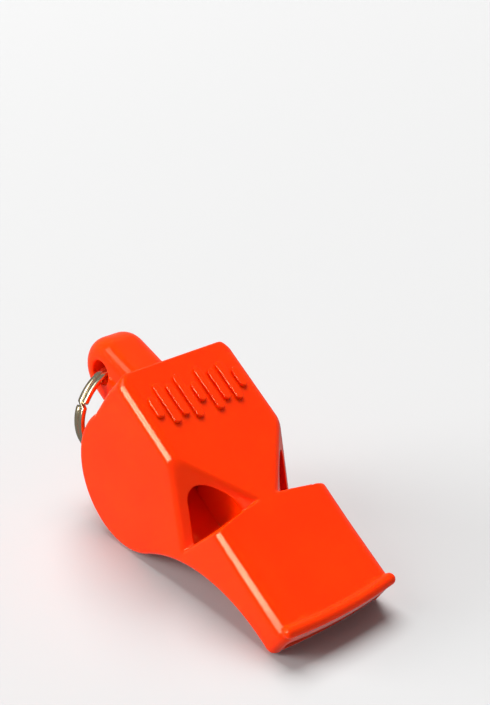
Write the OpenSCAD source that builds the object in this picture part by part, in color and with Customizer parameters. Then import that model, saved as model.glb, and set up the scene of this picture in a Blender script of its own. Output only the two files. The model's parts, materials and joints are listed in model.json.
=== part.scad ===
// Pealess three-chamber training whistle with a split ring in its rear lug.
//
// The whistle is drawn in its own frame first: X runs forward to the mouth,
// Y to the left, Z up, with the flat top at Z = 0 and the rear edge of the top
// at X = 0. It is then pitched nose down until it stands on its belly and on
// the lower tips of its mouth, as it rests on a table, and the ring hangs.

/* [Casing] */
// Width of the casing across its two flat sides
casing_w = 20; // [18:0.5:23]
// Length of the flat top, from the rear edge to the front of the mouth
top_l = 42.4; // [40:0.1:44]
// Radius of the round belly
belly_r = 10.7; // [10:0.1:11.2]
// Distance of the belly's centre in front of the rear edge
belly_x = 9.8; // [9.5:0.1:10.5]
// Depth of the belly's centre below the top
belly_depth = 13.45; // [13:0.05:14]
// Height of the mouthpiece at the lips
mouth_h = 5.85; // [5.5:0.05:6.5]
// Radius of the long rounded edges of the top
edge_r = 1.65; // [1:0.05:2]
// Thickness of the flat side walls
side_wall = 1.4; // [1.2:0.1:1.8]
// Thickness of the top and rear walls
top_wall = 1.15; // [1:0.05:1.5]

/* [Mouth] */
// Radius of the bead across the upper lip
bead_r = 0.85; // [0.6:0.05:1]
// How far the mouth's front bows forward in the middle
front_bow = 0.6; // [0.4:0.1:1.2]
// Height of the slot between the lips
slot_h = 1.9; // [1.4:0.1:2.2]
// Radius of the lower tips of the side walls
tip_r = 1.1; // [0.8:0.1:1.4]

/* [Side windows] */
// Where the notch begins on the long top edge
notch_rear_x = 13.6; // [13:0.1:14.5]
// Where the notch ends on the neck of the top
notch_front_x = 24.2; // [24:0.1:24.5]
// Half the width of the neck between the two notches
neck_half_w = 1.75; // [1.5:0.05:2.2]
// Depth of the notch at the side face
notch_depth = 9.8; // [9.4:0.1:10]
// How far the notch's front wall leans forward up to the top
notch_lean = 2.3; // [1.8:0.1:2.6]

/* [Airways] */
// Thickness of the lower cover
cover_t = 1.2; // [1:0.1:1.4]
// Height of the airway over the lower cover
airway_h = 0.8; // [0.6:0.05:0.9]
// Width of the airway and window of the lower chamber
lower_airway_w = 10; // [8:0.5:12]
// Thickness of the walls between the chambers
divider_t = 1; // [0.8:0.1:1.2]

/* [Lug] */
// Distance of the ring hole behind the rear edge
hole_back = 7.25; // [7:0.05:8]
// Depth of the ring hole below the top
hole_depth = 12.3; // [11.5:0.1:12.6]
// Radius of the ring hole
hole_r = 1.9; // [1.8:0.05:2.1]
// Radius of the lug's round end
lug_r = 4.9; // [4.5:0.1:5]
// Half the width of the lug
lug_half_w = 3.7; // [3.4:0.1:4.2]
// Slope of the lug's upper edge, in degrees
lug_top_slope = 14; // [10:1:18]
// Radius of the lug's rounded long edges
lug_edge_r = 2.2; // [1.5:0.1:2.4]

/* [Split ring] */
// Outer radius of the ring
ring_r = 8; // [7.5:0.25:9]
// Thickness of the wire across the ring
wire_t = 0.85; // [0.7:0.05:1]
// Height of one turn of wire along the ring's axis
wire_h = 0.95; // [0.7:0.05:1]

/* [Emblem] */
// Height of the raised bars
emblem_h = 0.5; // [0.2:0.05:0.5]
// Width of one bar
bar_w = 1.2; // [0.8:0.1:1.2]
// Distance from one bar to the next
bar_pitch = 1.85; // [1.6:0.05:2]

/* [Hidden] */
$fn = 96;
// Small overlap that joins solids and clears cuts
eps = 0.05;
// Length well past anything that is cut
far = 60;
plastic = "#ff4400";
steel = "#cfc8b8";

belly_z = -belly_depth;
half_w = casing_w / 2;
inner_half_w = half_w - side_wall;
// Radius inside the mouthpiece's long top edges
inner_edge_r = edge_r - 0.25;

// The concave underside is one arc, tangent to the belly circle
under_x = 40.2;
under_z = -29.7;
under_r = norm([under_x - belly_x, under_z - belly_z]) - belly_r;
// Point where the two arcs touch, on surfaces raised by lift
function touch(lift) = [belly_x, belly_z] + (belly_r - lift)
    * [under_x - belly_x, under_z - belly_z] / (under_r + belly_r);
touch_angle = atan2(under_z - belly_z, under_x - belly_x);
// The rear wall is nearly upright and meets the belly with a slight step
rear_foot = [-0.35, -10.4];
rear_wall = 1.1;
// How much later the left-hand chamber starts
left_chamber_shorter = 4;
// The lower cover's rear edge butts under the rear wall here
seam_z = -17.6;

// The cover's two curved strips overlap by this angle where the arcs touch
strip_overlap = 4;
// How far the cover's lip stands back from the front and the rest plane
lip_gap = 0.15;
// Lower tips of the side walls at the mouth
tip_x = top_l - 0.6;
tip_z = -mouth_h + tip_r;
// The mouth's side view is cut square over this length behind the tips
tip_block = 2;
// Length of the upper lip, and how far its bead stops short of the sides
upper_lip_l = 2.4;
bead_end_gap = 0.3;

// Nose-down pitch that rests the casing on its belly and its two lower tips
tip_dx = tip_x - belly_x;
tip_dz = tip_z - belly_z;
pitch = atan2(tip_dz, tip_dx) + asin((belly_r - tip_r) / norm([tip_dx, tip_dz]));

// The bowed front is the outside of a wide upright cylinder
bow_r = (half_w * half_w + front_bow * front_bow) / (2 * front_bow);
front_x = top_l + front_bow;
// The bead's centre line lies inside the front, and it stands this proud of the top
bead_back = 0.7;
bead_proud = 0.6;
bead_z = bead_proud - bead_r;

// Limits of the standing whistle, which put the origin under its middle
rear_limit = -hole_back * cos(pitch) - hole_depth * sin(pitch) - lug_r;
front_limit = (front_x - bead_back) * cos(pitch) + bead_z * sin(pitch) + bead_r;
rest_x = (rear_limit + front_limit) / 2;
rest_z = -belly_x * sin(pitch) + belly_z * cos(pitch) - belly_r;

// How far back the ramp's foot runs on its way down the side
ramp_foot_back = 0.65;
// Corners of the notch's triangular ramp on the right-hand side
ramp_rear = [notch_rear_x, -half_w, 0];
ramp_neck = [notch_front_x, -neck_half_w, 0];
ramp_low = [notch_front_x - ramp_foot_back, -half_w, -notch_depth];
// Upper end of the notch's front wall on the side face
lip_corner = [ramp_low[0] + notch_lean, -half_w, 0];

// Bulkhead between the chambers and the mouthpiece, just in front of the ramps
bulkhead_gap = 0.15;
bulkhead_x = notch_front_x + bulkhead_gap;
bulkhead_l = 2.2;
bulkhead_low = -6.8;
divider_top = -8.6;
// The core's foot reaches this far back under the bulkhead and this far in front of it
core_foot_back = 2;
core_foot_front = 1;
// The core ends this far behind the mouth's front, and this far below the bulkhead
core_short = 4;
core_depth = 5;

// Radii of the chambers' arched roofs, outwards and inwards
chamber_outer_r = 3;
chamber_inner_r = 1.6;
// The neck between the windows is solid this far to each side, and back to here
neck_core_half_w = 3.4;
neck_core_x = 16.5;

// Side airways leave the bulkhead along the ramp's foot
airway_tilt = atan2(notch_depth, half_w - neck_half_w);
airway_from = 4;
airway_to = 9.6;
side_airway_h = 1;
// The slot is lifted this much off the ramp's foot, and starts this far behind the bulkhead
airway_lift = 0.2;
airway_back = 3;
// Front end of a side airway, between the lips
airway_end_z = -3.3;
airway_end_w = 6;
airway_end_gap = 1;

// The lug's upper and lower edges run this far in under the casing
lug_root_top = 1;
lug_root_low = 0.8;

// Lower window, where the belly turns into the neck
window_x = 19.6;
window_l = 3.9;

// The wire stands a little above the hole's axis, so that its arc stays inside
wire_rise = 0.4;
ring_drop = ring_r - wire_t / 2 - wire_rise;
wire_edge = 0.22;
// The two turns of wire run into each other by twice this
turn_overlap = 0.01;

// Half lengths of the emblem's bars, from the middle outwards
bar_reach = [1.6, 3.7, 2.7, 3.3, 1.7];
emblem_x = 6.5;

// Pitches the whistle onto its belly and tips, with the origin under its middle
module stand() {
    translate([-rest_x, 0, -rest_z])
        rotate([0, pitch, 0])
            children();
}

// Turns a drawing of X and Z into a plate across Y, centred on the casing
module across(w) {
    translate([0, w / 2, 0])
        rotate([90, 0, 0])
            linear_extrude(w)
                children();
}

module both_sides() {
    children();
    mirror([0, 1, 0]) children();
}

// Side view of the casing, open to the front
module side_view() {
    difference() {
        union() {
            translate([belly_x, belly_z]) circle(belly_r);
            polygon([
                [0, 0],
                [tip_x, 0],
                [tip_x, -mouth_h - tip_block],
                touch(0),
                [belly_x, belly_z],
                [belly_x - belly_r, belly_z],
                rear_foot
            ]);
            translate([tip_x - tip_block, tip_z]) square([far, -tip_z]);
            translate([tip_x, tip_z]) circle(tip_r);
        }
        translate([under_x, under_z]) circle(under_r);
    }
}

// Side view of the lower cover: a strip round the belly that runs on to the mouth
module cover_view() {
    past = touch_angle + strip_overlap;
    // The underside's strip is cut off along a line from above it to below it
    cut_above = touch(cover_t) + [-1, 3];
    cut_below = touch(0) + [1, -1.5];
    difference() {
        union() {
            difference() {
                translate([belly_x, belly_z]) circle(belly_r);
                translate([belly_x, belly_z]) circle(belly_r - cover_t);
                polygon([
                    [belly_x, belly_z],
                    [belly_x, belly_z] + far * [cos(past), sin(past)],
                    [far, far],
                    [-far, far],
                    [-far, seam_z],
                    [belly_x - 1, seam_z]
                ]);
            }
            difference() {
                translate([under_x, under_z]) circle(under_r + cover_t);
                translate([under_x, under_z]) circle(under_r);
                polygon([
                    cut_above,
                    cut_below,
                    [under_x, under_z],
                    [far, under_z],
                    [far, -far],
                    [-far, -far],
                    [-far, far],
                    touch(cover_t) + [0, far]
                ]);
            }
        }
        // Front edge, kept just above what the mouth rests on
        translate([tip_x, tip_z])
            rotate([0, 0, pitch])
                translate([-tip_block, -tip_r - far + lip_gap]) square([far, far]);
    }
}

// Side view of what the rear wall and the belly enclose, open below the seam
module room_view(top) {
    translate([belly_x, belly_z]) circle(belly_r - cover_t);
    polygon([
        [rear_wall, top],
        [far, top],
        [far, -far],
        [-far, -far],
        [-far, seam_z],
        [belly_x, seam_z],
        [belly_x, belly_z],
        [rear_wall, rear_foot[1]]
    ]);
}

// Cross-section of the mouthpiece's inside, rounded along the top
module mouth_section() {
    r = inner_edge_r;
    translate([-inner_half_w, -far]) square([2 * inner_half_w, far - top_wall - r]);
    translate([-inner_half_w + r, -far]) square([2 * (inner_half_w - r), far - top_wall]);
    for (s = [-1, 1]) translate([s * (inner_half_w - r), -top_wall - r]) circle(r);
}

// Cross-section of the right-hand chamber at its window, an arch over a straight foot
module chamber_section() {
    outer = [-inner_half_w + chamber_outer_r, -top_wall - chamber_outer_r];
    inner = [-neck_core_half_w - chamber_inner_r, -top_wall - chamber_inner_r];
    translate(outer) circle(chamber_outer_r);
    translate(inner) circle(chamber_inner_r);
    translate([outer[0], divider_top]) square([inner[0] - outer[0], -divider_top - top_wall]);
    translate([-inner_half_w, divider_top]) square([chamber_outer_r + eps, outer[1] - divider_top]);
    translate([outer[0], divider_top]) square([-neck_core_half_w - outer[0], inner[1] - divider_top]);
}

// Draws a cross-section of Y and Z and sweeps it forward from x0 to x1
module along(x0, x1) {
    translate([x0, 0, 0])
        rotate([90, 0, 90])
            linear_extrude(x1 - x0)
                children();
}

// Cross-section of the casing, with its two rounded top edges
module cross_section(r) {
    translate([-half_w, -far]) square([casing_w, far - r]);
    translate([-half_w + r, -far]) square([casing_w - 2 * r, far]);
    for (s = [-1, 1]) translate([s * (half_w - r), -r]) circle(r);
}

module bowed_front(reach = 0) {
    translate([front_x - bow_r, 0, -far])
        cylinder(h = 2 * far, r = bow_r + reach, $fn = 180);
}

module casing_solid() {
    intersection() {
        across(casing_w) side_view();
        along(-far, far) cross_section(edge_r);
        bowed_front();
    }
}

// Bead along the upper lip, which stands proud of the top
module bead() {
    intersection() {
        translate([front_x - bow_r, 0, bead_z])
            rotate_extrude($fn = 180)
                translate([bow_r - bead_back, 0]) circle(bead_r);
        translate([0, -half_w + bead_end_gap, -far])
            cube([far, casing_w - 2 * bead_end_gap, 2 * far]);
    }
}

// A block that fills one side of the plane through three corners
module beyond(a, b, c) {
    n = cross(b - a, c - a) / norm(cross(b - a, c - a));
    u = (b - a) / norm(b - a);
    v = cross(n, u);
    multmatrix([
        [u[0], v[0], n[0], a[0]],
        [u[1], v[1], n[1], a[1]],
        [u[2], v[2], n[2], a[2]],
        [0, 0, 0, 1]
    ])
        translate([-far, -far, 0]) cube([2 * far, 2 * far, far]);
}

// The notch lies outside the ramp and behind the leaning front wall
module notch() {
    intersection() {
        beyond(ramp_rear, ramp_low, ramp_neck);
        beyond(ramp_low, lip_corner, ramp_neck);
    }
}

// Side view of the lug, a tongue with a round end of radius r
module lug_view(r) {
    c = [-hole_back, -hole_depth];
    up = [-sin(lug_top_slope), cos(lug_top_slope)];
    along = [cos(lug_top_slope), sin(lug_top_slope)];
    translate(c) circle(r);
    polygon([
        c + r * up,
        c + r * up + (hole_back + lug_root_top) * along,
        [lug_root_low, -hole_depth - r],
        c + [0, -r],
        c
    ]);
}

// The lug with its long edges rounded
module lug() {
    hull() {
        for (a = [0:22.5:90])
            across(2 * (lug_half_w - lug_edge_r * (1 - sin(a))))
                lug_view(lug_r - lug_edge_r * (1 - cos(a)), $fn = 32);
    }
}

// A slot that slopes along the ramp's foot on the right-hand side
module side_airway_slot(x0, x1) {
    translate([0, -half_w, -notch_depth])
        rotate([airway_tilt, 0, 0])
            translate([x0, airway_from, airway_lift])
                cube([x1 - x0, airway_to - airway_from, side_airway_h]);
}

module emblem() {
    n = len(bar_reach) - 1;
    for (i = [-n:n]) {
        reach = bar_reach[abs(i)];
        for (s = [-1, 1])
            translate([emblem_x + s * (reach - bar_w / 2), i * bar_pitch, -eps])
                cylinder(h = emblem_h + eps, d = bar_w);
        translate([emblem_x - reach + bar_w / 2, i * bar_pitch - bar_w / 2, -eps])
            cube([2 * reach - bar_w, bar_w, emblem_h + eps]);
    }
}

// Upper chamber on the right-hand side, from x0 to the bulkhead
module chamber(x0) {
    along(x0, bulkhead_x) chamber_section();
    translate([x0, -inner_half_w + chamber_outer_r, divider_top])
        cube([
            neck_core_x - x0,
            inner_half_w - chamber_outer_r - divider_t / 2,
            -divider_top - top_wall
        ]);
}

// Everything that is hollow inside the main body
module hollows() {
    // Lower chamber, under the two upper ones
    across(2 * inner_half_w)
        difference() {
            room_view(divider_top);
            translate([bulkhead_x, bulkhead_low]) square([bulkhead_l, far]);
        }
    chamber(rear_wall);
    // The left-hand chamber is the shorter one, so its note is higher
    mirror([0, 1, 0]) chamber(rear_wall + left_chamber_shorter);
    along(bulkhead_x + bulkhead_l, far) mouth_section();
    across(2 * inner_half_w)
        translate([bulkhead_x - eps, -far]) square([bulkhead_l + 2 * eps, far + bulkhead_low]);
}

module upper_lip() {
    low = -mouth_h + cover_t + slot_h;
    intersection() {
        across(2 * inner_half_w + 2 * eps)
            translate([top_l - upper_lip_l, low]) square([far, -low - top_wall + eps]);
        bowed_front();
    }
}

module main_body() {
    color(plastic) stand() {
        difference() {
            union() {
                difference() {
                    casing_solid();
                    hollows();
                }
                bead();
                upper_lip();
                difference() {
                    lug();
                    across(casing_w) room_view(-top_wall);
                }
                emblem();
            }
            both_sides() notch();
            both_sides() side_airway_slot(bulkhead_x - airway_back, bulkhead_x + bulkhead_l + eps);
            translate([-hole_back, far / 2, -hole_depth])
                rotate([90, 0, 0]) cylinder(h = far, r = hole_r);
        }
    }
}

module airway_core() {
    front = top_l - core_short;
    color(plastic) stand() {
        difference() {
            union() {
                along(bulkhead_x + bulkhead_l, front)
                    intersection() {
                        mouth_section();
                        translate([-half_w, bulkhead_low - core_depth]) square([casing_w, far]);
                    }
                across(2 * inner_half_w)
                    difference() {
                        union() {
                            translate([bulkhead_x - core_foot_back, divider_top - divider_t])
                                square([
                                    core_foot_back + bulkhead_l + core_foot_front,
                                    bulkhead_low - divider_top + divider_t
                                ]);
                            translate([rear_wall, divider_top - divider_t])
                                square([bulkhead_x - rear_wall, divider_t]);
                        }
                        translate([rear_wall, divider_top]) square([bulkhead_x - rear_wall, far]);
                    }
            }
            // Airway over the lower cover
            across(casing_w)
                translate([under_x, under_z]) circle(under_r + cover_t + airway_h);
            // Upper airways, from the slot between the lips to the bulkhead
            both_sides()
                hull() {
                    side_airway_slot(bulkhead_x + bulkhead_l - eps, bulkhead_x + bulkhead_l);
                    translate([front, -inner_half_w + airway_end_gap, airway_end_z])
                        cube([eps, airway_end_w, side_airway_h]);
                }
        }
    }
}

module lower_cover() {
    color(plastic) stand() {
        intersection() {
            difference() {
                across(2 * inner_half_w) cover_view();
                translate([window_x, -lower_airway_w / 2, -far])
                    cube([window_l, lower_airway_w, far]);
            }
            bowed_front(-lip_gap);
        }
    }
}

module wire_turn() {
    h = wire_h / 2;
    t = wire_t / 2;
    polygon([
        [-t, -h + wire_edge], [-t + wire_edge, -h],
        [t - wire_edge, -h], [t, -h + wire_edge],
        [t, h - wire_edge], [t - wire_edge, h],
        [-t + wire_edge, h], [-t, h - wire_edge]
    ]);
}

module split_ring() {
    color(steel) stand()
        translate([-hole_back, 0, -hole_depth])
            rotate([0, -pitch, 0])
                translate([0, 0, -ring_drop])
                    rotate([0, 90, 0])
                        rotate_extrude()
                            for (s = [-1, 1])
                                translate([ring_r - wire_t / 2, s * (wire_h / 2 - turn_overlap)])
                                    wire_turn();
}

main_body();
airway_core();
lower_cover();
split_ring();
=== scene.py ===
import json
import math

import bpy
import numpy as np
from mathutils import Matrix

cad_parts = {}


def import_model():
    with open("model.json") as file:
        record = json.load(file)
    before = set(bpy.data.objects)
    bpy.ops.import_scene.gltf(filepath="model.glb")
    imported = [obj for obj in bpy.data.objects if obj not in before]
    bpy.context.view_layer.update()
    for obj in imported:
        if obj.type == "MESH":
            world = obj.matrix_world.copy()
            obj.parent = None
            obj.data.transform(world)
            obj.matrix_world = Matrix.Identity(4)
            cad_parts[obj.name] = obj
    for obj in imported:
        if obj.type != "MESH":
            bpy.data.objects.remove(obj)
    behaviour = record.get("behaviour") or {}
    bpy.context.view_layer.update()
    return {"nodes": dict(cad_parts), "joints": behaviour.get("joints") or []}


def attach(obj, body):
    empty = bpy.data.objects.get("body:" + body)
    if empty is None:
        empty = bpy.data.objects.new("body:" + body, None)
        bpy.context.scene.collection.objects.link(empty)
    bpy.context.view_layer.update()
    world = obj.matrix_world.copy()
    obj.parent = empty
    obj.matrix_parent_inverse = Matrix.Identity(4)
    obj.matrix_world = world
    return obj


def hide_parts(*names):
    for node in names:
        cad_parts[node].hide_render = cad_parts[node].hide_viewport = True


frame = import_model()

# Looks of a pealess training whistle: moulded orange plastic, with a split ring in its rear lug.
#
# Shapes are worked out in millimetres in the whistle's own frame: X forward to the mouth, Y to the left and
# Z up, with the flat top at Z = 0 and its rear edge at X = 0. They are then pitched into the row frame, where
# the whistle rests on a table.

import openvdb
from mathutils import Matrix, Quaternion, Vector

MM = 0.001

# ---------------------------------------------------------------- dimensions
# A size that the CAD model has too keeps its value here, except the wire's height and spacing, the radius of
# the lug's edges (2.2 there) and the bead's ends (flat there, 0.3 from the sides). Most edge radii and the
# cover's side gap exist only here.
HALF_W = 10.0
TOP_LENGTH = 42.4
BELLY_R = 10.7
BELLY = (9.8, -13.45)
MOUTH_H = 5.85
TIP_R = 1.1
SIDE_WALL = 1.4
TOP_WALL = 1.15
REAR_WALL = 1.1
COVER_T = 1.2
REAR_FOOT = (-0.35, -10.4)
REAR_OVERLAP = 0.4
SEAM_Z = -17.6
UNDER = (40.2, -29.7)
UNDER_R = math.dist(UNDER, BELLY) - BELLY_R
FRONT_BOW = 0.6
BOW_R = (HALF_W**2 + FRONT_BOW**2) / (2 * FRONT_BOW)
FRONT_X = TOP_LENGTH + FRONT_BOW
BOW_X = FRONT_X - BOW_R
BEAD_R = 0.85
BEAD_PROUD = 0.6
BEAD_Z = BEAD_PROUD - BEAD_R
BEAD_BACK = 0.7
BEAD_END_Y = 9.1
SLOT_H = 1.9
INNER_HALF_W = HALF_W - SIDE_WALL

# Corners of the right-hand notch's ramp, and the top of its front wall
RAMP_REAR = (13.6, -HALF_W, 0.0)
RAMP_NECK = (24.2, -1.75, 0.0)
RAMP_LOW = (23.55, -HALF_W, -9.8)
LIP_CORNER = (25.85, -HALF_W, 0.0)
# Across the notch, the stretches over which its lip turns from the window's radius to the wider one
WINDOW_SIDES = ((-7.9, -8.9), (-4.2, -3.2))
# The lip changes from the ramp's radius to the front wall's within this distance of the line between them
NOTCH_TURN = 0.6

# Chambers, bulkhead and airways
BULKHEAD_X = 24.35
BULKHEAD_END = BULKHEAD_X + 2.2
BULKHEAD_LOW = -6.8
DIVIDER_TOP = -8.6
CHAMBER_OUTER_R = 3.0
CHAMBER_INNER_R = 1.6
NECK_CORE_HALF_W = 3.4
NECK_CORE_X = 16.5
CHAMBER_MIDDLE_GAP = 0.3
WEB_HALF_T = 0.5
LEFT_CHAMBER_SHORTER = 4.0
WINDOW_X = (19.6, 23.5)
WINDOW_HALF_W = 5.0
UPPER_LIP_L = 2.4
# Slot along the foot of each ramp: its middle and half size along and across the ramp, and its half length
SIDE_AIRWAY_MIDDLE = (6.8, 0.7)
SIDE_AIRWAY_HALF = (2.8, 0.5)
SIDE_AIRWAY_HALF_L = 3.0

# Gaps between the cover and the main body: at its sides and seam, and at the lower lip
COVER_GAP = 0.06
COVER_LIP_GAP = 0.15

# Lug and ring
HOLE = (-7.25, -12.3)
HOLE_R = 1.9
LUG_R = 4.9
LUG_HALF_W = 3.7
LUG_TOP_SLOPE = math.radians(14)
LUG_ROOT = 9.0
RING_R = 8.0
WIRE_T = 0.85
# The two turns run into each other in the CAD model, where the wire is 0.95 high. Here they are just apart.
WIRE_H = 0.93
WIRE_RISE = 0.4
RING_AXIAL = 0.47
RING_CROSSING = math.radians(67)
RING_HALF_GAP = math.radians(2.6)
WIRE_SQUARENESS = 0.55
WIRE_END_SCALE = 0.86
WIRE_STEPS = 300
WIRE_POINTS = 20

# Radii of the moulded edges
TOP_EDGE_R = 1.65
MOUTH_EDGE_R = 2.0
SIDE_EDGE_R = 0.8
REAR_EDGE_R = 0.4
REAR_CORNER_R = 1.6
FRONT_EDGE_R = 1.2
LUG_EDGE_R = 2.5
RAMP_EDGE_R = 0.5
LIP_EDGE_R = 0.4
WINDOW_LIP_R = 0.15
WINDOW_EDGE_R = 0.25
NOTCH_FOOT_R = 0.15
BEAD_FILLET_R = 0.3
LUG_FILLET_R = 0.5
HOLE_EDGE_R = 0.3
SLOT_EDGE_R = 0.3
INNER_EDGE_R = TOP_EDGE_R - 0.25
COVER_EDGE_R = 0.2
COVER_OPENING_R = 0.3
COVER_FRONT_R = 0.35

# Where one radius gives way to another: the rear corners by height and by length, the long top edges towards
# the mouth, and the top edge from the rear wall to the sides
REAR_CORNER_Z = (-4.5, -1.0)
REAR_CORNER_X = (8.0, 4.0)
MOUTH_EDGE_X = (24.0, 33.0)
TOP_EDGE_TURN = (-2.0, 0.8)

# Emblem: a row of raised bars like a sound wave
EMBLEM_H = 0.5
EMBLEM_X = 6.5
BAR_W = 1.2
BAR_PITCH = 1.85
BAR_REACH = (1.6, 3.7, 2.7, 3.3, 1.7)
BAR_EDGE_R = 0.14
BAR_SUNK = 0.2

# Boxes that the pieces are sampled in, lowest and highest corner
BODY_BOX = ((-13.0, -10.7, -24.9), (43.9, 10.7, 1.1))
EMBLEM_BOX = ((2.4, -8.2, -0.4), (10.6, 8.2, 0.55))
COVER_BOX = ((-1.7, -9.2, -24.9), (43.0, 9.2, -4.0))

# Sampling: cells of distance kept on both sides of a surface, steps that move points onto it, and the least
# squared slope that a step divides by
BAND_CELLS = 3
NEWTON_STEPS = 3
LEAST_SLOPE_SQUARED = 0.25

# ---------------------------------------------------------------- from the whistle's frame to the row frame
TIP_BACK = 0.6
TIP = (TOP_LENGTH - TIP_BACK, -MOUTH_H + TIP_R)
TIP_ANGLE = math.atan2(TIP[1] - BELLY[1], TIP[0] - BELLY[0])
PITCH = TIP_ANGLE + math.asin((BELLY_R - TIP_R) / math.dist(TIP, BELLY))
RING_HINGE = Vector(frame["joints"][0]["pos_m"])
STAND = (Matrix.Translation(RING_HINGE) @ Matrix.Rotation(PITCH, 4, "Y")
         @ Matrix.Scale(MM, 4) @ Matrix.Translation((-HOLE[0], 0, -HOLE[1])))


# ---------------------------------------------------------------- distance functions
def round_and(a, b, r):
    """Both shapes' common part, with its outside edge rounded to radius r."""
    return np.minimum(-r, np.maximum(a, b)) + np.hypot(np.maximum(a + r, 0), np.maximum(b + r, 0))


def round_or(a, b, r):
    """Both shapes together, with a fillet of radius r in the inside corner."""
    return np.maximum(r, np.minimum(a, b)) - np.hypot(np.maximum(r - a, 0), np.maximum(r - b, 0))


def ease(low, high, t):
    """0 at low, 1 at high, smooth between and flat outside; high may be the smaller one."""
    s = np.clip((t - low) / (high - low), 0, 1)
    return s * s * (3 - 2 * s)


def plane(a, b, c, x, y, z):
    """Distance above the plane through three corners."""
    n = (Vector(b) - Vector(a)).cross(Vector(c) - Vector(a)).normalized()
    return n.x * (x - a[0]) + n.y * (y - a[1]) + n.z * (z - a[2])


def side_view(x, z):
    """The casing's side view without its top: round belly, concave underside and upright rear wall."""
    belly = np.hypot(x - BELLY[0], z - BELLY[1]) - BELLY_R
    under = UNDER_R - np.hypot(x - UNDER[0], z - UNDER[1])
    along = np.array(UNDER) - np.array(BELLY)
    along = along / np.hypot(*along)
    below = along[1] * (x - BELLY[0]) - along[0] * (z - BELLY[1])
    foot = math.hypot(*REAR_FOOT)
    rear = (REAR_FOOT[1] * x - REAR_FOOT[0] * z) / foot
    neck = np.maximum(np.maximum(rear, under), below)
    upper_rear = np.maximum(np.maximum(rear, REAR_FOOT[1] - REAR_OVERLAP - z), x - BELLY[0])
    return np.minimum(np.minimum(belly, neck), upper_rear)


def front_wall(x, y):
    return np.hypot(x - BOW_X, y) - BOW_R


def casing(x, y, z):
    """Outside of the casing with every moulded edge rounded."""
    side = side_view(x, z)
    across = np.abs(y) - HALF_W
    wall_r = SIDE_EDGE_R + (REAR_CORNER_R - SIDE_EDGE_R) * ease(*REAR_CORNER_Z, z) * ease(*REAR_CORNER_X, x)
    walls = round_and(side, across, wall_r)
    side_r = TOP_EDGE_R + (MOUTH_EDGE_R - TOP_EDGE_R) * ease(*MOUTH_EDGE_X, x)
    top_r = REAR_EDGE_R + (side_r - REAR_EDGE_R) * ease(*TOP_EDGE_TURN, across - side)
    body = round_and(walls, z, top_r)
    return round_and(body, front_wall(x, y), FRONT_EDGE_R)


def bead(x, y, z):
    """Round bead along the upper lip, with round ends."""
    yc = np.clip(y, -BEAD_END_Y, BEAD_END_Y)
    xc = BOW_X + np.sqrt((BOW_R - BEAD_BACK)**2 - yc**2)
    return np.sqrt((x - xc)**2 + (y - yc)**2 + (z - BEAD_Z)**2) - BEAD_R


def notched(body, x, y, z):
    """Cuts the V-shaped notch out of both sides."""
    y = -np.abs(y)
    ramp = plane(RAMP_REAR, RAMP_LOW, RAMP_NECK, x, y, z)
    wall = plane(RAMP_LOW, LIP_CORNER, RAMP_NECK, x, y, z)
    keep = round_or(ramp, wall, NOTCH_FOOT_R)
    beside_window = ease(*WINDOW_SIDES[0], y) + ease(*WINDOW_SIDES[1], y)
    lip_r = WINDOW_LIP_R + (LIP_EDGE_R - WINDOW_LIP_R) * beside_window
    r = lip_r + (RAMP_EDGE_R - lip_r) * ease(-NOTCH_TURN, NOTCH_TURN, wall - ramp)
    return round_and(body, keep, r)


def lug(x, y, z):
    """Tongue behind the casing: it widens towards the casing, and its edges are strongly rounded."""
    half = LUG_TOP_SLOPE / 2
    dx, dz = x - HOLE[0], z - HOLE[1]
    along = dx * math.cos(half) + dz * math.sin(half)
    off = np.abs(dz * math.cos(half) - dx * math.sin(half))
    end = np.hypot(along, off) - LUG_R
    flank = off * math.cos(half) - along * math.sin(half) - LUG_R
    side = np.where(along * math.cos(half) + off * math.sin(half) < 0, end, flank)
    return round_and(np.maximum(side, dx - LUG_ROOT), np.abs(y) - LUG_HALF_W, LUG_EDGE_R)


def emblem(x, y, z):
    """Raised bars, mirrored about the middle one."""
    best = None
    for i in range(1 - len(BAR_REACH), len(BAR_REACH)):
        reach = BAR_REACH[abs(i)] - BAR_W / 2
        flat = np.hypot(np.maximum(np.abs(x - EMBLEM_X) - reach, 0), y - i * BAR_PITCH) - BAR_W / 2
        best = flat if best is None else np.minimum(best, flat)
    return np.maximum(round_and(best, z - EMBLEM_H, BAR_EDGE_R), -BAR_SUNK - z)


def chamber(x, y, z, rear_x):
    """Upper chamber on the right-hand side: an arched tube behind the window, wider at the rear."""
    roof = z + TOP_WALL
    outer = round_and(-INNER_HALF_W - y, roof, CHAMBER_OUTER_R)
    inner = round_and(y + NECK_CORE_HALF_W, roof, CHAMBER_INNER_R)
    middle = -NECK_CORE_HALF_W - CHAMBER_INNER_R - CHAMBER_MIDDLE_GAP
    tube = np.where(y < middle, outer, inner)
    wide = np.maximum(np.where(y < middle, outer, np.maximum(y + WEB_HALF_T, roof)), x - NECK_CORE_X)
    ends = np.maximum(np.maximum(rear_x - x, x - BULKHEAD_X), DIVIDER_TOP - z)
    return np.maximum(np.minimum(tube, wide), ends)


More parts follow.
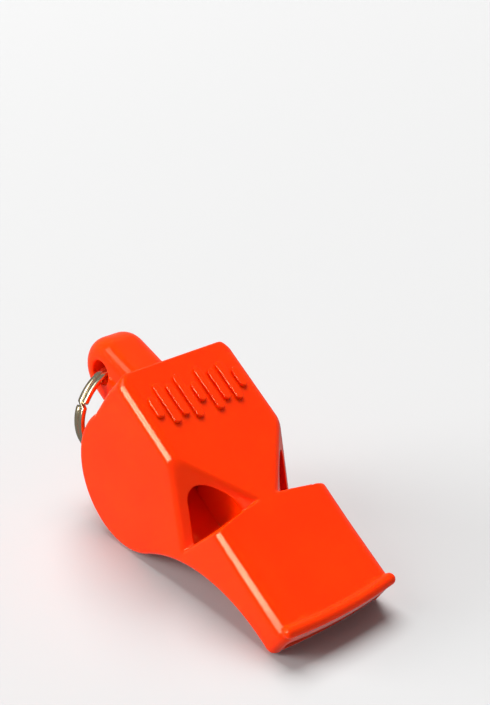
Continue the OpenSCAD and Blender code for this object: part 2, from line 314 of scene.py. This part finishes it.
def hollows(x, y, z):
    """Everything hollow inside the main body."""
    right = chamber(x, y, z, REAR_WALL)
    left = chamber(x, -y, z, REAR_WALL + LEFT_CHAMBER_SHORTER)
    across = np.abs(y) - INNER_HALF_W
    room = np.minimum(
        np.hypot(x - BELLY[0], z - BELLY[1]) - (BELLY_R - COVER_T),
        np.maximum(REAR_WALL - x, z - BELLY[1]),
    )
    room = np.minimum(room, z - SEAM_Z)
    lower = np.maximum(np.maximum(room, z - DIVIDER_TOP), across)
    under_bulkhead = np.maximum(np.maximum(BULKHEAD_X - x, z - BULKHEAD_LOW), across)
    lip = np.maximum(TOP_LENGTH - UPPER_LIP_L - x, -MOUTH_H + COVER_T + SLOT_H - z)
    mouth = round_and(across, z + TOP_WALL, INNER_EDGE_R)
    mouth = np.maximum(BULKHEAD_END - x, round_and(mouth, -lip, SLOT_EDGE_R))
    return np.minimum(np.minimum(np.minimum(right, left), lower), np.minimum(under_bulkhead, mouth))


def side_airway(x, y, z):
    """Slot through the bulkhead along the foot of each ramp."""
    tilt = math.atan2(-RAMP_LOW[2], HALF_W - abs(RAMP_NECK[1]))
    dy, dz = -np.abs(y) + HALF_W, z - RAMP_LOW[2]
    u = math.cos(tilt) * dy + math.sin(tilt) * dz
    v = -math.sin(tilt) * dy + math.cos(tilt) * dz
    along = np.abs(u - SIDE_AIRWAY_MIDDLE[0]) - SIDE_AIRWAY_HALF[0]
    across = np.abs(v - SIDE_AIRWAY_MIDDLE[1]) - SIDE_AIRWAY_HALF[1]
    return np.maximum(np.maximum(along, across), np.abs(x - BULKHEAD_X) - SIDE_AIRWAY_HALF_L)


def main_body(x, y, z):
    body = round_or(casing(x, y, z), bead(x, y, z), BEAD_FILLET_R)
    body = notched(body, x, y, z)
    body = round_or(body, lug(x, y, z), LUG_FILLET_R)
    body = round_and(body, -hollows(x, y, z), WINDOW_EDGE_R)
    body = np.maximum(body, -side_airway(x, y, z))
    hole = np.hypot(x - HOLE[0], z - HOLE[1]) - HOLE_R
    return round_and(body, -hole, HOLE_EDGE_R)


def lower_cover(x, y, z):
    """Curved strip between the side walls, from the seam at the rear round to the lower lip."""
    side = side_view(x, z)
    strip = np.maximum(side, -side - COVER_T)
    strip = np.where(x < BELLY[0], np.maximum(strip, z - SEAM_Z + COVER_GAP), strip)
    strip = round_and(strip, np.abs(y) - INNER_HALF_W + COVER_GAP, COVER_EDGE_R)
    window = np.abs(x - sum(WINDOW_X) / 2) - (WINDOW_X[1] - WINDOW_X[0]) / 2
    window = np.maximum(window, np.abs(y) - WINDOW_HALF_W)
    strip = round_and(strip, -window, COVER_OPENING_R)
    level = -math.sin(PITCH) * (x - TIP[0]) + math.cos(PITCH) * (z - TIP[1]) + TIP_R
    strip = round_and(strip, COVER_LIP_GAP - level, COVER_OPENING_R)
    return round_and(strip, front_wall(x, y) + COVER_LIP_GAP, COVER_FRONT_R)


# ---------------------------------------------------------------- from a distance function to a mesh
def gradient(shape, p, step=0.01):
    """Slope of a distance function at points, by central differences."""
    g = []
    for axis in range(3):
        q = [p[:, k] + (step if k == axis else 0) for k in range(3)]
        r = [p[:, k] - (step if k == axis else 0) for k in range(3)]
        g.append((shape(*q) - shape(*r)) / (2 * step))
    return np.stack(g, 1)


def solid(name, shape, box, cell, adapt):
    """A closed mesh of a distance function, with its points and normals taken from the true surface."""
    axes = [np.arange(a, b, cell, dtype=np.float32) for a, b in zip(*box)]
    field = shape(axes[0][:, None, None], axes[1][None, :, None], axes[2][None, None, :])
    band = BAND_CELLS * cell
    field = np.ascontiguousarray(np.clip(field, -band, band).astype(np.float32))
    grid = openvdb.FloatGrid(band)
    grid.copyFromArray(field)
    points, triangles, quads = grid.convertToPolygons(0.0, adapt)
    p = np.array(box[0]) + np.asarray(points, float) * cell
    for _ in range(NEWTON_STEPS):
        g = gradient(shape, p)
        move = shape(*p.T)[:, None] * g / np.maximum((g * g).sum(1), LEAST_SLOPE_SQUARED)[:, None]
        p -= np.clip(move, -cell, cell)
    normals = gradient(shape, p)
    normals /= np.maximum(np.linalg.norm(normals, axis=1), 1e-6)[:, None]
    faces = [tuple(f) for f in np.asarray(quads)] + [tuple(f) for f in np.asarray(triangles)]
    mesh = bpy.data.meshes.new(name)
    mesh.from_pydata([tuple(v) for v in p], [], faces)
    mesh.transform(STAND)
    mesh.polygons.foreach_set("use_smooth", [True] * len(mesh.polygons))
    turn = np.array(STAND.to_3x3().normalized())
    mesh.normals_split_custom_set_from_vertices([tuple(n) for n in normals @ turn.T])
    mesh.update()
    obj = bpy.data.objects.new(name, mesh)
    bpy.context.scene.collection.objects.link(obj)
    return obj


# ---------------------------------------------------------------- split ring
def split_ring():
    """One wire wound twice, flat on each turn, with its crossing and its two cut ends together."""
    start = RING_CROSSING + RING_HALF_GAP
    end = RING_CROSSING + 4 * math.pi - RING_HALF_GAP
    middle_r = RING_R - WIRE_T / 2
    centre = RING_HINGE - Vector((0, 0, (middle_r - WIRE_RISE) * MM))
    steps, around = WIRE_STEPS, WIRE_POINTS
    verts, faces = [], []
    for i in range(steps + 1):
        a = start + (end - start) * i / steps
        t = float(np.clip((a - (RING_CROSSING + 2 * math.pi)) / RING_HALF_GAP, -1, 1))
        layer = RING_AXIAL * t * (1.5 - 0.5 * t**2)
        shrink = WIRE_END_SCALE if i in (0, steps) else 1.0
        for k in range(around):
            b = 2 * math.pi * k / around
            cr = math.copysign(abs(math.cos(b))**WIRE_SQUARENESS, math.cos(b)) * WIRE_T / 2 * shrink
            cx = math.copysign(abs(math.sin(b))**WIRE_SQUARENESS, math.sin(b)) * WIRE_H / 2 * shrink
            r = middle_r + cr
            verts.append(centre + Vector((layer + cx, -r * math.sin(a), r * math.cos(a))) * MM)
    for i in range(steps):
        for k in range(around):
            a, b = i * around + k, i * around + (k + 1) % around
            faces.append((a, b, b + around, a + around))
    faces.append(tuple(range(around))[::-1])
    faces.append(tuple(range(steps * around, (steps + 1) * around)))
    mesh = bpy.data.meshes.new("split_ring_wire")
    mesh.from_pydata(verts, [], faces)
    mesh.polygons.foreach_set("use_smooth", [len(p.vertices) == 4 for p in mesh.polygons])
    mesh.update()
    obj = bpy.data.objects.new("split_ring_wire", mesh)
    bpy.context.scene.collection.objects.link(obj)
    return obj


# ---------------------------------------------------------------- materials
def node(tree, kind, **inputs):
    """A new shader node with some of its inputs set."""
    n = tree.nodes.new(kind)
    for name, value in inputs.items():
        n.inputs[name.replace("_", " ")].default_value = value
    return n


def noise(tree, scale, detail, roughness=0.55):
    """Noise in the piece's own coordinates, as a 0 to 1 factor."""
    coords = tree.nodes.new("ShaderNodeTexCoord")
    n = node(tree, "ShaderNodeTexNoise", Scale=scale, Detail=detail, Roughness=roughness)
    tree.links.new(coords.outputs["Object"], n.inputs["Vector"])
    return n.outputs["Fac"]


def spread(tree, factor, low, high):
    """Maps a 0 to 1 factor onto a range."""
    n = tree.nodes.new("ShaderNodeMapRange")
    n.inputs["To Min"].default_value = low
    n.inputs["To Max"].default_value = high
    tree.links.new(factor, n.inputs["Value"])
    return n.outputs["Result"]


def plastic(name, light, deep):
    """Moulded plastic: flow marks in the colour, fine mould grain, faint handling marks in the gloss."""
    mat = bpy.data.materials.new(name)
    mat.use_nodes = True
    tree = mat.node_tree
    shader = tree.nodes["Principled BSDF"]
    shader.inputs["IOR"].default_value = 1.5
    shader.inputs["Specular IOR Level"].default_value = 0.5
    shader.inputs["Specular Tint"].default_value = (1, 0.57, 0.34, 1)
    shader.inputs["Subsurface Weight"].default_value = 0.3
    shader.inputs["Subsurface Radius"].default_value = (1.0, 0.12, 0.03)
    shader.inputs["Subsurface Scale"].default_value = 0.0015
    ramp = tree.nodes.new("ShaderNodeValToRGB")
    ramp.color_ramp.elements[0].color = (*deep, 1)
    ramp.color_ramp.elements[1].color = (*light, 1)
    ramp.color_ramp.elements[0].position = 0.3
    ramp.color_ramp.elements[1].position = 0.7
    tree.links.new(noise(tree, scale=90, detail=3), ramp.inputs["Fac"])
    tree.links.new(ramp.outputs["Color"], shader.inputs["Base Color"])
    handling = noise(tree, scale=420, detail=6, roughness=0.65)
    tree.links.new(spread(tree, handling, 0.09, 0.15), shader.inputs["Roughness"])
    bump = node(tree, "ShaderNodeBump", Strength=0.03, Distance=0.0001)
    tree.links.new(noise(tree, scale=2600, detail=3), bump.inputs["Height"])
    tree.links.new(bump.outputs["Normal"], shader.inputs["Normal"])
    return mat


def steel(name):
    """Plated spring steel: mirror-like with fine drawing marks and slightly warm tarnish."""
    mat = bpy.data.materials.new(name)
    mat.use_nodes = True
    tree = mat.node_tree
    shader = tree.nodes["Principled BSDF"]
    shader.inputs["Metallic"].default_value = 1.0
    ramp = tree.nodes.new("ShaderNodeValToRGB")
    ramp.color_ramp.elements[0].color = (0.50, 0.42, 0.26, 1)
    ramp.color_ramp.elements[1].color = (0.70, 0.62, 0.46, 1)
    tree.links.new(noise(tree, scale=180, detail=5), ramp.inputs["Fac"])
    tree.links.new(ramp.outputs["Color"], shader.inputs["Base Color"])
    drawing = noise(tree, scale=900, detail=5)
    tree.links.new(spread(tree, drawing, 0.12, 0.3), shader.inputs["Roughness"])
    bump = node(tree, "ShaderNodeBump", Strength=0.08, Distance=0.0001)
    tree.links.new(noise(tree, scale=3200, detail=4), bump.inputs["Height"])
    tree.links.new(bump.outputs["Normal"], shader.inputs["Normal"])
    return mat


ORANGE_LIGHT = (1.0, 0.040, 0.0)
ORANGE_DEEP = (1.0, 0.033, 0.0)
# The airway core is seen only inside the windows and the mouth slot. Its copy of the orange is redder than
# the casing's, which is painted shade for those hollows, laid over the same flow marks.
CORE_PAINTED_SHADE_PALE = (1.0, 0.030, 0.0)
CORE_PAINTED_SHADE_DEEP = (1.0, 0.025, 0.0)
casing_plastic = plastic("moulded_orange", ORANGE_LIGHT, ORANGE_DEEP)
core_plastic_painted_shade = plastic("moulded_orange_core_painted_shade", CORE_PAINTED_SHADE_PALE, CORE_PAINTED_SHADE_DEEP)
ring_steel = steel("plated_steel")

# ---------------------------------------------------------------- pieces
body = solid("whistle_body", main_body, BODY_BOX, cell=0.15, adapt=0.02)
body.data.materials.append(casing_plastic)
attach(body, "whistle")
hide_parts("main_body")

bars = solid("emblem_bars", emblem, EMBLEM_BOX, cell=0.07, adapt=0.0)
bars.data.materials.append(casing_plastic)
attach(bars, "whistle")
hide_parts("main_body")

cover = solid("belly_cover", lower_cover, COVER_BOX, cell=0.15, adapt=0.02)
cover.data.materials.append(casing_plastic)
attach(cover, "whistle")
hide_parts("lower_cover")

core = frame["nodes"]["airway_core"]
core.data.materials.clear()
core.data.materials.append(core_plastic_painted_shade)

ring = split_ring()
ring.data.materials.append(ring_steel)
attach(ring, "ring")
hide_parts("split_ring")


# ---------------------------------------------------------------- floor, lights and camera, in metres
FLOOR_HALF = 3.0
FLOOR_GREY = 0.46
LIGHT_DISTANCE = 3.0
LIGHT_AIM = Vector((0, 0, 0.012))


def paint(name, grey, roughness):
    mat = bpy.data.materials.new(name)
    mat.use_nodes = True
    shader = mat.node_tree.nodes["Principled BSDF"]
    shader.inputs["Base Color"].default_value = (grey, grey, grey, 1)
    shader.inputs["Roughness"].default_value = roughness
    return mat


def floor():
    """The table that the whistle stands on, left out of mirror reflections."""
    mesh = bpy.data.meshes.new("floor")
    s = FLOOR_HALF
    mesh.from_pydata([(-s, -s, 0), (s, -s, 0), (s, s, 0), (-s, s, 0)], [], [(0, 1, 2, 3)])
    mesh.materials.append(paint("pale_floor", FLOOR_GREY, 0.9))
    obj = bpy.data.objects.new("floor", mesh)
    obj.visible_glossy = False
    bpy.context.scene.collection.objects.link(obj)


def softbox(name, direction, along, size, radiance, mirrored=True, lights=True):
    """A rectangular soft light facing the whistle, its long side turned to follow a direction.

    One that is not mirrored makes no highlights. One that doesn't light only makes highlights.
    """
    light = bpy.data.lights.new(name, "AREA")
    light.shape = "RECTANGLE"
    light.size, light.size_y = size
    light.energy = 4 * radiance * size[0] * size[1]
    obj = bpy.data.objects.new(name, light)
    z = Vector(direction).normalized()
    y = (Vector(along) - Vector(along).dot(z) * z).normalized()
    turn = Matrix((y.cross(z), y, z)).transposed()
    obj.matrix_world = Matrix.Translation(z * LIGHT_DISTANCE + LIGHT_AIM) @ turn.to_4x4()
    obj.visible_glossy = mirrored
    obj.visible_diffuse = lights
    bpy.context.scene.collection.objects.link(obj)


def world(strength):
    w = bpy.data.worlds.new("studio")
    w.use_nodes = True
    bg = w.node_tree.nodes["Background"]
    bg.inputs["Color"].default_value = (1, 1, 1, 1)
    bg.inputs["Strength"].default_value = strength
    bpy.context.scene.world = w


# The camera in the whistle's own frame, in millimetres and degrees
CAMERA_AT = (69.13, -107.19, 144.19)
CAMERA_AZIMUTH = 29.15
CAMERA_ELEVATION = 46.81
CAMERA_ROLL = 32.8
CAMERA_LENS = 69.89
CAMERA_SENSOR = 36.0
CAMERA_NEAR_M = 0.01


def camera():
    cam = bpy.data.cameras.new("camera")
    cam.lens = CAMERA_LENS
    cam.sensor_width = CAMERA_SENSOR
    cam.clip_start = CAMERA_NEAR_M
    obj = bpy.data.objects.new("camera", cam)
    a, e = math.radians(CAMERA_AZIMUTH), math.radians(CAMERA_ELEVATION)
    back = Vector((math.sin(a) * math.cos(e), -math.cos(a) * math.cos(e), math.sin(e)))
    turn = back.to_track_quat("Z", "Y") @ Quaternion((0, 0, 1), math.radians(CAMERA_ROLL))
    obj.location = STAND @ Vector(CAMERA_AT)
    obj.rotation_euler = (Quaternion((0, 1, 0), PITCH) @ turn).to_euler()
    bpy.context.scene.collection.objects.link(obj)
    bpy.context.scene.camera = obj


floor()
world(0.25)
softbox("edge_strip", (-0.12, -0.92, 0.34), (0.52, 0.23, 0.82), (0.8, 2.6), 16.0, lights=False)
softbox("lug_glint", (-0.35, -0.68, 0.65), (0, 0, 1), (1.3, 1.3), 3.0)
softbox("side_fill", (-0.62, -0.75, 0.2), (0, 0, 1), (2.0, 1.6), 9.0, mirrored=False)
softbox("overhead", (-0.4, 0.2, 0.9), (0, 1, 0), (2.2, 2.2), 7.8, mirrored=False)
camera()
bpy.context.scene.view_settings.view_transform = "Standard"
